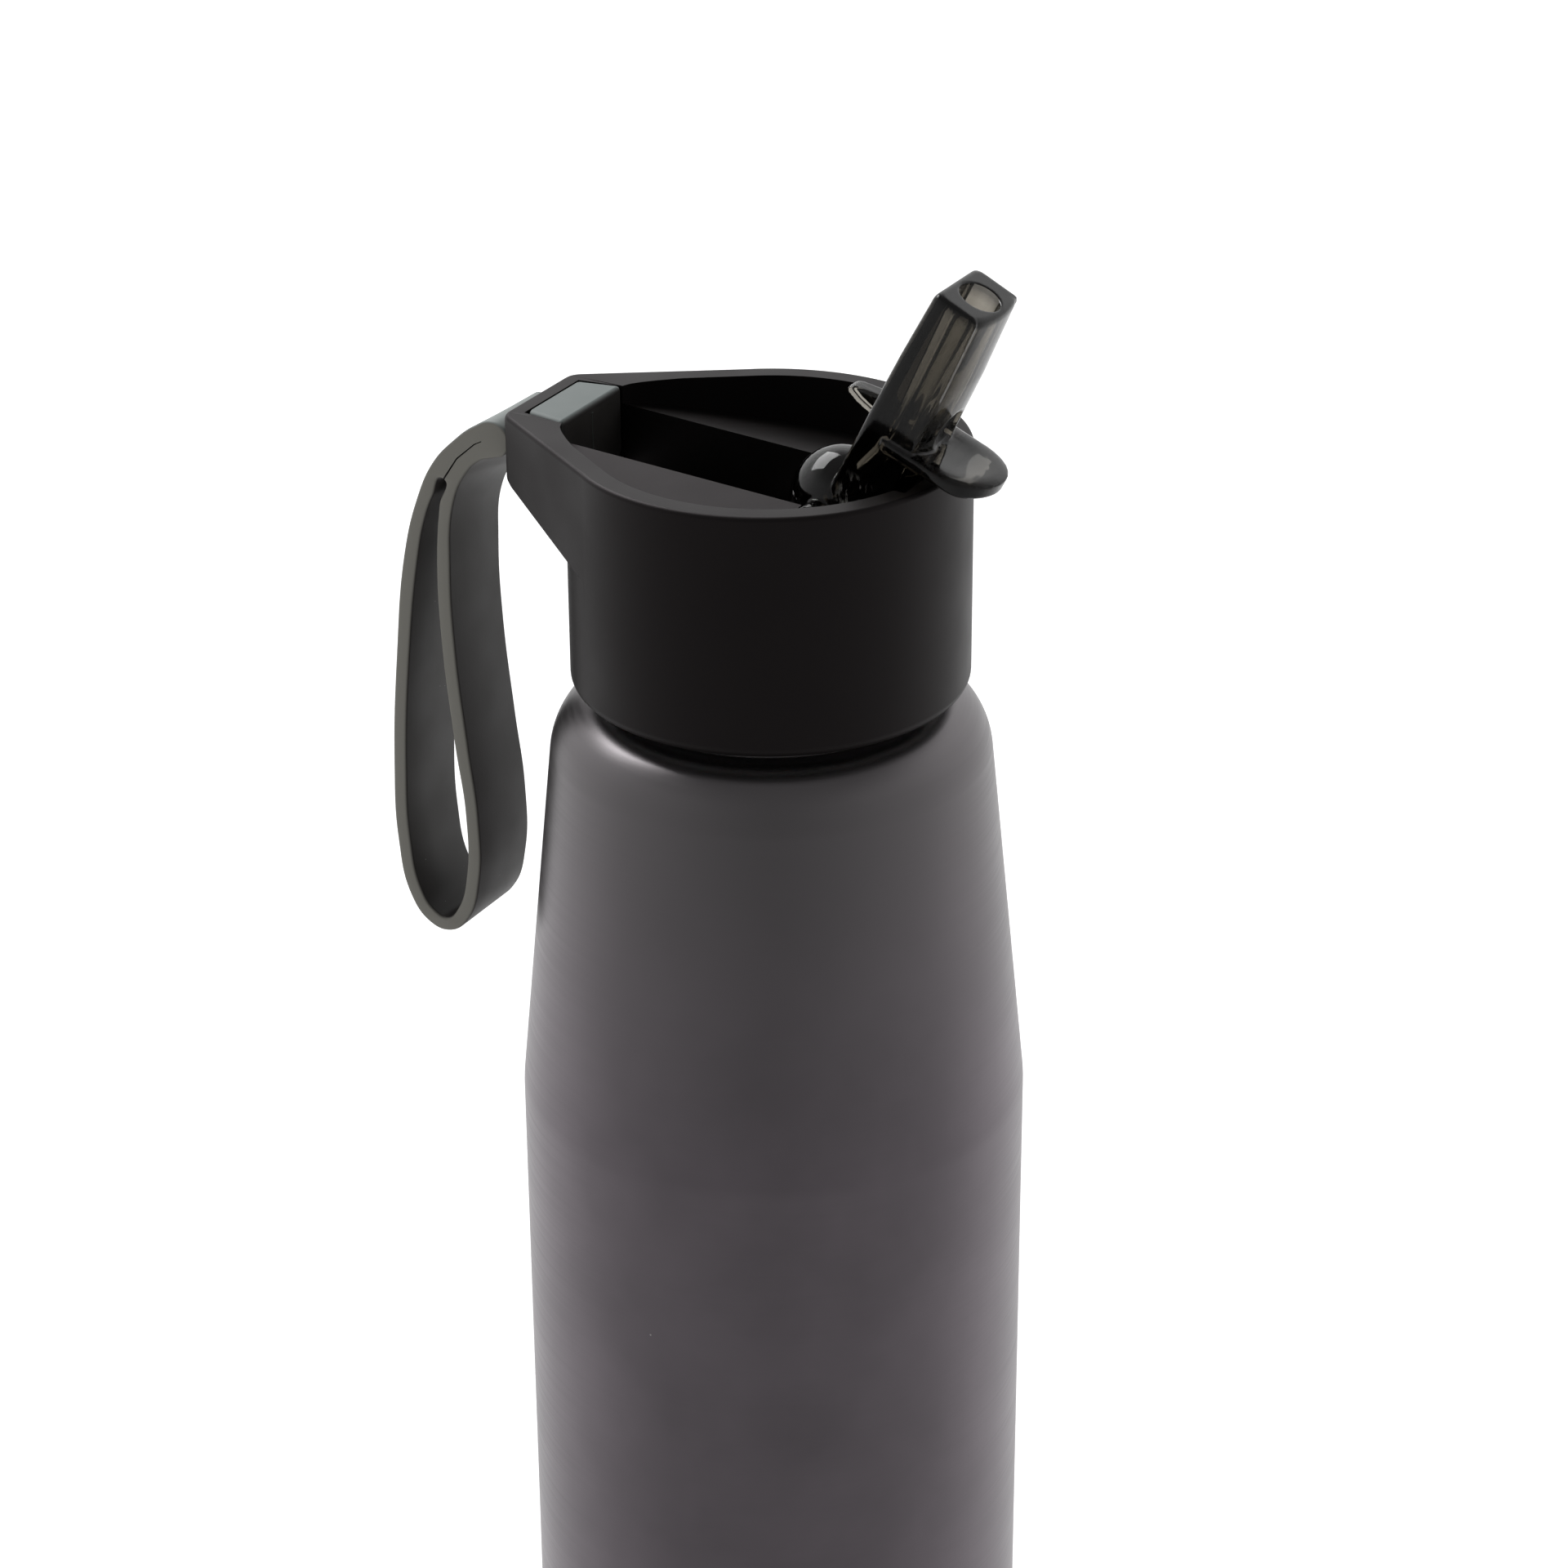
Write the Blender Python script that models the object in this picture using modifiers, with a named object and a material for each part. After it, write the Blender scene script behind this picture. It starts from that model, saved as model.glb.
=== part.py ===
"""Aluminium drinking bottle with a screw lid, a flip-up spout, a straw and a silicone carry loop.

Frame: origin at the centre of the base, +Z up the bottle's axis, +X towards the spout's thumb
lever, -X towards the carry loop. Dimensions below are in millimetres; objects are in metres.
"""
import math

import bmesh
import bpy
from mathutils import Euler, Matrix, Vector

MM = 0.001
GAP = 0.3                        # clearance between touching pieces

# bottle
BODY_R = 36.5
WALL = 1.2
BASE_CORNER_R = 5.0
KINK_Z = 147.0                   # where the straight body turns into the taper
TAPER_TOP_R, TAPER_TOP_Z = 31.25, 198.4
SHOULDER_R = 23.4                # radius at which the shoulder has turned level
SHOULDER_Z = 207.7
NECK_R = 22.6
NECK_WALL = 1.0
LIP_Z = 225.3

# screw thread, shared by the neck and the liner
PITCH = 4.0
TURNS = 1.5
THREAD_Z = 215.0
THREAD_CREST_R = 23.8
THREAD_ROOT_HALF, THREAD_CREST_HALF = 1.35, 0.5

# lid
LID_R = 28.05
LID_BOTTOM, RIM_Z = 210.3, 245.5
RIM_INNER_R = 24.8
LID_CAVITY_R = 26.05
FLOOR_UNDERSIDE, FLOOR_Z = 229.6, 231.6
DECK_Z = 241.25                  # deck height at the channel edge, on the bottle's axis
DECK_FALL_X, DECK_FALL_Y = 0.057, 0.22
DECK_INNER_Y = 6.0               # the deck cutters reach in this far, over the channel
CHANNEL_HALF = 8.15
CHANNEL_END_X = 25.2
LUG_X, LUG_HALF = -37.5, 9.0     # end face of the lug, and where its flanks would meet that face
LUG_CORNER = 1.7                 # how far the round corner reaches along each side
LUG_UNDER_Z, LUG_UNDER_FALL = 235.9, 0.30
POCKET_BACK_X, POCKET_BACK_HALF = -35.0, 7.2
POCKET_FRONT_X, POCKET_FRONT_HALF = -28.3, 8.4
POCKET_SKIN = 1.6                # plastic left between the pocket and the lug's underside
SLOT_HALF, SLOT_LOW, SLOT_HIGH = 6.2, 237.0, 242.4

# liner
LINER_R = 25.75
LINER_INNER_R = 24.15
LINER_TOP, LINER_PLATE = 229.3, 227.3
LINER_BOTTOM = 211.4
LINER_CREST_R = 22.95

# spout
HINGE_X, HINGE_Z = 11.35, 239.4
TILT = math.radians(26.5)        # the open spout leans this far from upright
BALL_R = 7.2
AXLE_R = 2.0
SPOUT_LENGTH = 37.9
SPOUT_UNDER, SPOUT_OVER = -0.6, 8.0
SPOUT_HALF = 6.25
LEVER_AT, LEVER_THICK = 14.4, 3.0
LEVER_END, LEVER_HALF, LEVER_RISE = 18.8, 6.8, 0.10
PRONG_AT, PRONG_END, PRONG_HALF = 15.7, -6.1, 1.25
BORE_R, BORE_TIP_R, BORE_TAPER = 1.9, 2.9, 25.0

# straw
STRAW_R, STRAW_INNER_R = 3.5, 2.7
NIPPLE_R = 2.5
STRAW_TOP, STRAW_BOTTOM = 227.0, 8.0

# carry loop
LOOP_PIVOT_X, LOOP_PIVOT_Z = -40.9, 240.1
LOOP_ROOT_R = 2.8
LOOP_HALF = 6.7

VENT_X = HINGE_X - PRONG_AT


def clear_scene():
    for obj in list(bpy.data.objects):
        bpy.data.objects.remove(obj, do_unlink=True)


def collection(name):
    coll = bpy.data.collections.new(name)
    bpy.context.scene.collection.children.link(coll)
    return coll


clear_scene()
PARTS = collection("flip_spout_bottle")
CUTTERS = collection("cutters")


def material(name, color, roughness, metallic=0.0, alpha=1.0):
    mat = bpy.data.materials.new(name)
    mat.use_nodes = True
    shader = mat.node_tree.nodes["Principled BSDF"]
    shader.inputs["Base Color"].default_value = (*color, 1.0)
    shader.inputs["Roughness"].default_value = roughness
    shader.inputs["Metallic"].default_value = metallic
    shader.inputs["Alpha"].default_value = alpha
    return mat


ALUMINIUM = material("satin_aluminium", (0.085, 0.080, 0.085), 0.32, 1.0)
BLACK_PLASTIC = material("matte_black_plastic", (0.012, 0.012, 0.012), 0.45)
LINER_PLASTIC = material("liner_plastic", (0.55, 0.55, 0.53), 0.5)
SMOKE_PLASTIC = material("smoke_plastic", (0.03, 0.03, 0.028), 0.08, 0.0, 0.75)
SEAL_RUBBER = material("seal_rubber", (0.35, 0.35, 0.34), 0.6)
STRAW_PLASTIC = material("straw_plastic", (0.75, 0.75, 0.73), 0.3, 0.0, 0.6)
LOOP_RUBBER = material("loop_rubber", (0.09, 0.085, 0.075), 0.55)


def add_mesh(name, mesh, mat=None):
    """A part when it has a material, and a cutter otherwise."""
    obj = bpy.data.objects.new(name, mesh)
    if mat is None:
        CUTTERS.objects.link(obj)
        obj.hide_render = True
        obj.display_type = "WIRE"
        return obj
    PARTS.objects.link(obj)
    mesh.materials.clear()
    mesh.materials.append(mat)
    return obj


def smooth(obj, angle=35.0):
    obj.data.shade_smooth()
    obj.data.set_sharp_from_angle(angle=math.radians(angle))


def arc(cx, cz, r, start, end, count):
    """Points on a circle, angles in degrees."""
    points = []
    for i in range(count):
        angle = math.radians(start + (end - start) * i / (count - 1))
        points.append((cx + r * math.cos(angle), cz + r * math.sin(angle)))
    return points


def turned(name, profile, mat=None, closed=False, steps=48):
    """A body of revolution about Z. The profile holds (radius, height) and runs down its outer side."""
    verts = [(r * MM, 0.0, z * MM) for r, z in profile]
    edges = [(i, i + 1) for i in range(len(verts) - 1)]
    if closed:
        edges.append((len(verts) - 1, 0))
    mesh = bpy.data.meshes.new(name)
    mesh.from_pydata(verts, edges, [])
    obj = add_mesh(name, mesh, mat)
    screw = obj.modifiers.new("turn", "SCREW")
    screw.axis = "Z"
    screw.steps = steps
    screw.render_steps = steps
    screw.use_merge_vertices = True
    screw.merge_threshold = 0.00001
    screw.use_smooth_shade = True
    return obj


def evaluated_mesh(obj):
    depsgraph = bpy.context.evaluated_depsgraph_get()
    return bpy.data.meshes.new_from_object(obj.evaluated_get(depsgraph), depsgraph=depsgraph)


def solidified(obj, mat=None):
    """The evaluated shape of obj as a plain closed mesh object that replaces it."""
    mesh = evaluated_mesh(obj)
    bm = bmesh.new()
    bm.from_mesh(mesh)
    bmesh.ops.remove_doubles(bm, verts=bm.verts, dist=0.000001)
    open_edges = [edge for edge in bm.edges if edge.is_boundary]
    if open_edges:
        bmesh.ops.holes_fill(bm, edges=open_edges)
    bmesh.ops.recalc_face_normals(bm, faces=bm.faces)
    bm.to_mesh(mesh)
    bm.free()
    name = obj.name
    matrix = obj.matrix_world.copy()
    bpy.data.objects.remove(obj, do_unlink=True)
    made = add_mesh(name, mesh, mat)
    made.matrix_world = matrix
    return made


def prism(name, loops, low, high, mat=None, upright=False, curved=False):
    """A flat outline, with holes, extruded along Z, or along Y when upright (points are then x, z)."""
    curve = bpy.data.curves.new(name, "CURVE")
    curve.dimensions = "2D"
    curve.fill_mode = "BOTH"
    curve.extrude = (high - low) / 2 * MM
    curve.resolution_u = 3
    for points in loops:
        spline = curve.splines.new("BEZIER" if curved else "POLY")
        if curved:
            spline.bezier_points.add(len(points) - 1)
            for knot, (x, y) in zip(spline.bezier_points, points):
                knot.co = (x * MM, y * MM, 0.0)
                knot.handle_left_type = "AUTO"
                knot.handle_right_type = "AUTO"
        else:
            spline.points.add(len(points) - 1)
            for knot, (x, y) in zip(spline.points, points):
                knot.co = (x * MM, y * MM, 0.0, 1.0)
        spline.use_cyclic_u = True
    obj = bpy.data.objects.new(name, curve)
    CUTTERS.objects.link(obj)
    middle = (high + low) / 2 * MM
    if upright:
        obj.rotation_euler = (math.pi / 2, 0.0, 0.0)
        obj.location = (0.0, middle, 0.0)
    else:
        obj.location = (0.0, 0.0, middle)
    bpy.context.view_layer.update()
    return solidified(obj, mat)


def placed(obj, location, rotation=(0.0, 0.0, 0.0)):
    turn = Euler(rotation).to_matrix().to_4x4()
    obj.matrix_world = Matrix.Translation(Vector(location) * MM) @ turn
    return obj


def block(name, low, high, mat=None):
    """A box between two corners."""
    mesh = bpy.data.meshes.new(name)
    bm = bmesh.new()
    bmesh.ops.create_cube(bm, size=1.0)
    size = [(b - a) * MM for a, b in zip(low, high)]
    centre = [(a + b) / 2 * MM for a, b in zip(low, high)]
    bmesh.ops.scale(bm, vec=size, verts=bm.verts)
    bmesh.ops.translate(bm, vec=centre, verts=bm.verts)
    bm.to_mesh(mesh)
    bm.free()
    return add_mesh(name, mesh, mat)


def rod(name, radius, length, location, rotation=(0.0, 0.0, 0.0), sides=24, tip_radius=None):
    """A cylinder, or a cone when tip_radius is given, centred on its location."""
    mesh = bpy.data.meshes.new(name)
    bm = bmesh.new()
    far = radius if tip_radius is None else tip_radius
    bmesh.ops.create_cone(bm, cap_ends=True, segments=sides, radius1=radius * MM,
                          radius2=far * MM, depth=length * MM)
    bm.to_mesh(mesh)
    bm.free()
    return placed(add_mesh(name, mesh), location, rotation)


def combine(target, tool, operation="DIFFERENCE"):
    boolean = target.modifiers.new(operation.lower() + "_" + tool.name, "BOOLEAN")
    boolean.operation = operation
    boolean.solver = "EXACT"
    boolean.object = tool
    return target


def bevel(obj, width, segments=2, angle=40.0):
    edge = obj.modifiers.new("round_edges", "BEVEL")
    edge.width = width * MM
    edge.segments = segments
    edge.limit_method = "ANGLE"
    edge.angle_limit = math.radians(angle)
    return obj


def thread_ridge(name, root_r, crest_r, start_z):
    """A helical ridge of trapezoid section, one and a half turns long."""
    half, crest_half = THREAD_ROOT_HALF, THREAD_CREST_HALF
    section = [(root_r, start_z + half), (crest_r, start_z + crest_half),
               (crest_r, start_z - crest_half), (root_r, start_z - half)]
    ridge = turned(name, section, closed=True, steps=72)
    screw = ridge.modifiers["turn"]
    screw.angle = 2 * math.pi * TURNS
    screw.screw_offset = PITCH * TURNS * MM
    screw.use_merge_vertices = False
    return solidified(ridge)


def shoulder(offset, count):
    """The shoulder's quarter turn, from the top of the taper to the level part, moved in by offset."""
    points = []
    for i in range(count):
        turn = math.radians(90.0 * i / (count - 1))
        r = SHOULDER_R + (TAPER_TOP_R - SHOULDER_R) * math.cos(turn)
        z = TAPER_TOP_Z + (SHOULDER_Z - TAPER_TOP_Z) * math.sin(turn)
        points.append((r - offset * math.cos(turn), z - offset * math.sin(turn)))
    return points


def make_bottle():
    inner = [(0.0, WALL), (BODY_R - WALL - 3.0, WALL)]
    inner += [(BODY_R - WALL, WALL + 3.5), (BODY_R - WALL, KINK_Z - 1.0)]
    inner += shoulder(WALL, 4)
    inner += [(NECK_R - NECK_WALL, 209.0), (NECK_R - NECK_WALL, LIP_Z - 0.4)]
    inner += [(NECK_R - NECK_WALL + 0.3, LIP_Z)]
    outer = [(NECK_R - 0.3, LIP_Z), (NECK_R, LIP_Z - 0.4), (NECK_R, 208.4)]
    outer += list(reversed(shoulder(0.0, 6)))
    outer += [(BODY_R - 0.35, KINK_Z + 3.0), (BODY_R, KINK_Z - 3.0)]
    outer += arc(BODY_R - BASE_CORNER_R, BASE_CORNER_R, BASE_CORNER_R, 0.0, -90.0, 5)
    outer += [(0.0, 0.0)]
    bottle = turned("bottle_shell", inner + outer, ALUMINIUM)
    ridge = thread_ridge("neck_thread", NECK_R - 0.4, THREAD_CREST_R, THREAD_Z)
    return combine(bottle, ridge, "UNION")


def flank_angle():
    """The angle off -X at which the straight flanks of the lug leave the round lid."""
    reach = math.hypot(LUG_X, LUG_HALF)
    return math.acos(LID_R / reach) + math.atan2(LUG_HALF, -LUG_X)


def round_corner(before, corner, after, reach, count=5):
    """Points of a curve that replaces a corner, starting and ending reach away from it."""
    tip = Vector(corner)
    start = tip + (Vector(before) - tip).normalized() * reach
    end = tip + (Vector(after) - tip).normalized() * reach
    points = []
    for i in range(count):
        t = i / (count - 1)
        points.append(tuple(start * (1 - t) ** 2 + tip * 2 * t * (1 - t) + end * t ** 2))
    return points


def lug_outline(radius):
    """Plan of the lid: a circle whose two straight flanks run out to the lug's end face."""
    start = 180.0 - math.degrees(flank_angle())
    points = arc(0.0, 0.0, radius, start, -start, 33)
    lower, upper = (LUG_X, -LUG_HALF), (LUG_X, LUG_HALF)
    points += round_corner(points[-1], lower, upper, LUG_CORNER)
    points += round_corner(lower, upper, points[0], LUG_CORNER)
    return points


def underside_z(x):
    """Height of the lug's sloping underside."""
    return LUG_UNDER_Z - LUG_UNDER_FALL * (x - LUG_X)


def deck_outline(side):
    """Plan of one deck half, from the anchor pocket round the wall to the channel's end."""
    start = 180.0 - math.degrees(flank_angle())
    end = math.degrees(math.asin(DECK_INNER_Y / RIM_INNER_R))
    shoulder_points = [(POCKET_FRONT_X, DECK_INNER_Y), (POCKET_FRONT_X, POCKET_FRONT_HALF), (-27.0, 10.2),
                       (-25.2, 12.4), (-23.3, 14.2)]
    points = shoulder_points + arc(0.0, 0.0, RIM_INNER_R, start, end, 22)
    return [(x, y * side) for x, y in points]


def deck_cutter(name, side):
    """The space over one deck half; its floor slopes down to the hinge and out to the wall."""
    cutter = prism(name, [deck_outline(side)], 230.0, 250.0)
    place = cutter.matrix_world.translation.z
    for vert in cutter.data.vertices:
        if vert.co.z < 0.0:
            outward = abs(vert.co.y) - CHANNEL_HALF * MM
            height = DECK_Z * MM - DECK_FALL_X * vert.co.x - DECK_FALL_Y * outward
            vert.co.z = height - place
    return cutter


def pocket_prism(name, shrink, top, mat=None):
    """The anchor's pocket, or its block when shrunk; the bottom follows the lug's underside."""
    back, front = POCKET_BACK_X + shrink, POCKET_FRONT_X
    outline = [(back, -POCKET_BACK_HALF + shrink), (front, -POCKET_FRONT_HALF + shrink),
               (front, POCKET_FRONT_HALF - shrink), (back, POCKET_BACK_HALF - shrink)]
    made = prism(name, [outline], 230.0, top, mat)
    place = made.matrix_world.translation.z
    for vert in made.data.vertices:
        if vert.co.z < 0.0:
            floor = underside_z(vert.co.x / MM) + POCKET_SKIN + shrink
            vert.co.z = floor * MM - place
    return made


def make_lid_shell():
    profile = [(0.0, RIM_Z), (LID_R - 0.5, RIM_Z), (LID_R, RIM_Z - 0.5), (LID_R, LID_BOTTOM + 2.4)]
    profile += [(LID_R - 0.7, LID_BOTTOM + 0.7), (LID_R - 1.6, LID_BOTTOM), (0.0, LID_BOTTOM)]
    shell = turned("lid_shell", profile, BLACK_PLASTIC, steps=64)

    lug = prism("lug", [lug_outline(LID_R - 0.02)], 219.0, RIM_Z - 0.01)
    outer, inner = LUG_X - 8.0, 0.0
    wedge = [(outer, underside_z(outer)), (inner, underside_z(inner)), (inner, 210.0), (outer, 210.0)]
    combine(lug, prism("lug_underside", [wedge], -40.0, 40.0, upright=True))
    combine(shell, lug, "UNION")

    combine(shell, rod("liner_space", LID_CAVITY_R, 40.0, (0, 0, FLOOR_UNDERSIDE - 20.0), sides=64))
    pockets = rod("underdeck_space", RIM_INNER_R - 0.5, 12.0, (0, 0, 229.2), sides=48)
    combine(pockets, block("rib_under_channel", (-40, -12, 215), (40, 12, 245)))
    combine(shell, pockets)
    combine(shell, deck_cutter("deck_space_left", 1.0))
    combine(shell, deck_cutter("deck_space_right", -1.0))
    channel = (POCKET_FRONT_X - 0.2, -CHANNEL_HALF, FLOOR_Z), (CHANNEL_END_X, CHANNEL_HALF, 250.0)
    combine(shell, block("channel_space", *channel))
    combine(shell, pocket_prism("anchor_pocket", 0.0, 250.0))
    slot = (LUG_X - 3.0, -SLOT_HALF, SLOT_LOW), (POCKET_BACK_X + 1.0, SLOT_HALF, SLOT_HIGH)
    combine(shell, block("loop_slot", *slot))
    axle_length = 2 * (CHANNEL_HALF + 2.1)
    seat = rod("axle_seat", AXLE_R + 0.25, axle_length, (HINGE_X, 0, HINGE_Z), (math.pi / 2, 0, 0))
    mouth = (HINGE_X - 1.75, -axle_length / 2, HINGE_Z), (HINGE_X + 1.75, axle_length / 2, 250.0)
    combine(shell, seat)
    combine(shell, block("axle_snap_mouth", *mouth))
    combine(shell, rod("seal_hole", 5.4, 6.0, (HINGE_X, 0, FLOOR_Z), sides=32))
    combine(shell, rod("vent_hole", 2.9, 6.0, (VENT_X, 0, FLOOR_Z), sides=24))
    return shell


def make_liner():
    profile = [(0.0, LINER_TOP), (LINER_R - 0.5, LINER_TOP), (LINER_R, LINER_TOP - 0.5),
               (LINER_R, LINER_BOTTOM), (LINER_INNER_R, LINER_BOTTOM), (LINER_INNER_R, LINER_PLATE),
               (0.0, LINER_PLATE)]
    liner = turned("lid_liner", profile, LINER_PLASTIC)
    ridge = thread_ridge("liner_thread", LINER_INNER_R + 0.4, LINER_CREST_R, THREAD_Z - PITCH / 2)
    combine(liner, ridge, "UNION")
    combine(liner, rod("straw_nipple", NIPPLE_R, 10.0, (HINGE_X, 0, LINER_PLATE - 4.0)), "UNION")
    combine(liner, rod("nipple_bore", 1.7, 20.0, (HINGE_X, 0, LINER_PLATE - 4.0)))
    combine(liner, rod("vent_stem_hole", 1.8, 10.0, (VENT_X, 0, LINER_PLATE)))
    return liner


def make_gasket():
    top, bottom = LINER_PLATE - GAP, LIP_Z + GAP
    ring = [(23.7, top), (23.7, bottom), (20.2, bottom), (20.2, top)]
    return turned("neck_gasket", ring, SEAL_RUBBER, closed=True)


def make_ball_seal():
    """A cup-shaped seal whose top follows the ball."""
    seat_r = BALL_R + 0.25
    hole_r, outer_r = 2.3, 5.0
    bottom = LINER_TOP + GAP
    top = []
    for i in range(5):
        r = hole_r + (outer_r - 0.4 - hole_r) * i / 4
        top.append((r, HINGE_Z - math.sqrt(seat_r * seat_r - r * r)))
    profile = [(outer_r, top[-1][1] - 0.3), (outer_r, bottom), (hole_r, bottom)] + top
    seal = turned("spout_ball_seal", profile, SEAL_RUBBER, closed=True, steps=32)
    return placed(seal, (HINGE_X, 0, 0))


def make_vent_valve():
    """A grommet in the channel floor that the spout's prong presses on when the spout is folded."""
    top, step, foot = 232.8, LINER_TOP + GAP, 226.2
    profile = [(1.4, top - 0.5), (1.9, top), (2.6, top - 0.4), (2.6, step), (1.5, step), (1.5, foot),
               (0.5, foot), (0.5, top - 1.0)]
    vent = turned("vent_valve", profile, SEAL_RUBBER, closed=True, steps=24)
    return placed(vent, (VENT_X, 0, 0))


def make_straw():
    tube = [(STRAW_R, STRAW_TOP), (STRAW_R, STRAW_BOTTOM), (STRAW_INNER_R, STRAW_BOTTOM),
            (STRAW_INNER_R, STRAW_TOP)]
    return placed(turned("straw", tube, STRAW_PLASTIC, closed=True, steps=24), (HINGE_X, 0, 0))


def in_spout_frame(obj):
    """Spout pieces are drawn round the hinge, with Z along the spout and X towards the thumb lever."""
    hinge = Matrix.Translation(Vector((HINGE_X, 0, HINGE_Z)) * MM)
    obj.matrix_world = hinge @ Matrix.Rotation(TILT, 4, "Y") @ obj.matrix_world
    return obj


def ball(name, radius):
    mesh = bpy.data.meshes.new(name)
    bm = bmesh.new()
    bmesh.ops.create_uvsphere(bm, u_segments=32, v_segments=16, radius=radius * MM)
    bm.to_mesh(mesh)
    bm.free()
    return placed(add_mesh(name, mesh), (0, 0, 0), (math.pi / 2, 0, 0))


def make_lever():
    """The thumb lever: a round-ended tongue that rises a little towards its end."""
    rounding = arc(LEVER_END - LEVER_HALF, 0.0, LEVER_HALF, -90.0, 90.0, 11)
    outline = [(3.0, -LEVER_HALF)] + rounding + [(3.0, LEVER_HALF)]
    lever = prism("thumb_lever", [outline], LEVER_AT - LEVER_THICK / 2, LEVER_AT + LEVER_THICK / 2)
    for vert in lever.data.vertices:
        vert.co.z += LEVER_RISE * max(0.0, vert.co.x - SPOUT_OVER * MM)
    return lever


def make_spout():
    """One moulding: tube, ball with stub axles, thumb lever and vent prong."""
    low, high = (SPOUT_UNDER, -SPOUT_HALF, 1.0), (SPOUT_OVER, SPOUT_HALF, SPOUT_LENGTH)
    bar = in_spout_frame(block("spout", low, high, SMOKE_PLASTIC))
    bevel(bar, 0.9)
    combine(bar, in_spout_frame(ball("ball", BALL_R)), "UNION")
    axle_length = 2 * (CHANNEL_HALF + 1.7)
    axle = rod("stub_axles", AXLE_R, axle_length, (0, 0, 0), (math.pi / 2, 0, 0), sides=20)
    combine(bar, in_spout_frame(axle), "UNION")
    combine(bar, in_spout_frame(make_lever()), "UNION")
    prong_side = [(1.0, PRONG_AT - 2.6), (PRONG_END + 0.4, PRONG_AT - 0.8), (PRONG_END, PRONG_AT),
                  (PRONG_END + 0.4, PRONG_AT + 0.6), (1.0, PRONG_AT + 0.6)]
    prong = prism("vent_prong", [prong_side], -PRONG_HALF, PRONG_HALF, upright=True)
    combine(bar, in_spout_frame(prong), "UNION")

    middle = (SPOUT_UNDER + SPOUT_OVER) / 2
    taper = rod("bore_taper", BORE_R, BORE_TAPER + 1.0, (middle, 0, SPOUT_LENGTH - (BORE_TAPER - 1.0) / 2),
                tip_radius=BORE_TIP_R)
    combine(bar, in_spout_frame(taper))
    join = SPOUT_LENGTH - BORE_TAPER + 1.0
    lean = math.atan2(middle, join)
    passage = rod("bore_lower", BORE_R, math.hypot(middle, join) + 1.5, (middle / 2, 0, join / 2), (0, lean, 0))
    combine(bar, in_spout_frame(passage))
    combine(bar, rod("bore_outlet", BORE_R, 9.0, (HINGE_X, 0, HINGE_Z - 4.0)))
    return bar


def make_anchor():
    """The block that holds the carry loop, with the tab that passes out through the lug."""
    anchor = pocket_prism("strap_anchor", GAP, RIM_Z, LOOP_RUBBER)
    bevel(anchor, 0.7)
    tab = (LUG_X + 0.1, 0.3 - SLOT_HALF, SLOT_LOW + 0.4), (POCKET_BACK_X + 2.0, SLOT_HALF - 0.3, SLOT_HIGH - 0.4)
    combine(anchor, block("anchor_tab", *tab), "UNION")
    return anchor


def make_loop():
    """The flat silicone loop; its two legs run together into a rounded root at the lug."""
    root = arc(LOOP_PIVOT_X, LOOP_PIVOT_Z, LOOP_ROOT_R, -90.0, 90.0, 5)
    outside = [(-44.0, 241.6), (-47.4, 238.9), (-51.2, 234.7), (-54.2, 228.5), (-56.7, 219.8),
               (-58.9, 203.4), (-60.3, 185.4), (-60.2, 172.8), (-58.3, 163.8), (-55.3, 160.2), (-51.9, 159.5),
               (-48.5, 162.0), (-46.1, 169.0), (-45.8, 179.5), (-47.1, 191.0), (-48.6, 206.0), (-48.9, 218.6),
               (-47.9, 229.0), (-45.7, 233.9), (-43.1, 236.5)]
    inside = [(-49.5, 232.6), (-51.3, 229.7), (-53.0, 225.4), (-54.4, 219.4), (-56.7, 203.2), (-58.1, 185.4),
              (-58.0, 173.2), (-56.4, 165.2), (-54.3, 162.4), (-52.0, 161.7), (-50.1, 163.6), (-48.3, 169.4),
              (-48.0, 179.5), (-49.4, 190.8), (-50.9, 205.9), (-51.2, 218.5), (-50.3, 228.5)]
    return prism("carry_loop", [root + outside, inside], -LOOP_HALF, LOOP_HALF, LOOP_RUBBER,
                 upright=True, curved=True)


PIECES = [make_bottle(), make_lid_shell(), make_liner(), make_gasket(), make_ball_seal(),
          make_vent_valve(), make_straw(), make_spout(), make_anchor(), make_loop()]
for piece in PIECES:
    smooth(piece)
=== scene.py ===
"""Finished looks of the flip-spout drinking bottle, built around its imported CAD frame.

Frame: origin at the centre of the base, +Z up the axis, +X towards the thumb lever, -X towards the
carry loop. Dimensions are in millimetres unless they are passed straight to Blender.
"""

import math

import bmesh
import bpy
from mathutils import Matrix, Vector


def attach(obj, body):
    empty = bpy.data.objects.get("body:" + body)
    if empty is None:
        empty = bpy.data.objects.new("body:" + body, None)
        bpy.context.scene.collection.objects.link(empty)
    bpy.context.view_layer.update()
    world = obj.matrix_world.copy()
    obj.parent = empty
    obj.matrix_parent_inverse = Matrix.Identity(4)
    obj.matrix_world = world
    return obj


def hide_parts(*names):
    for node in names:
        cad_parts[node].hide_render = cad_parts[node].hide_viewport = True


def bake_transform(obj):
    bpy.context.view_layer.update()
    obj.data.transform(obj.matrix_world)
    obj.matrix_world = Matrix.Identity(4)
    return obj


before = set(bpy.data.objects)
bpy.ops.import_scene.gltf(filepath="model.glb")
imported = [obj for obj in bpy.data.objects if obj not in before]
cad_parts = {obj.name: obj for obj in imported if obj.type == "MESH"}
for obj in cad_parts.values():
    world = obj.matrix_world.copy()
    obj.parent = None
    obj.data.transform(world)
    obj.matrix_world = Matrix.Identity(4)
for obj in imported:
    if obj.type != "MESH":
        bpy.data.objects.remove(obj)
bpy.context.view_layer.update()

MM = 0.001

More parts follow.
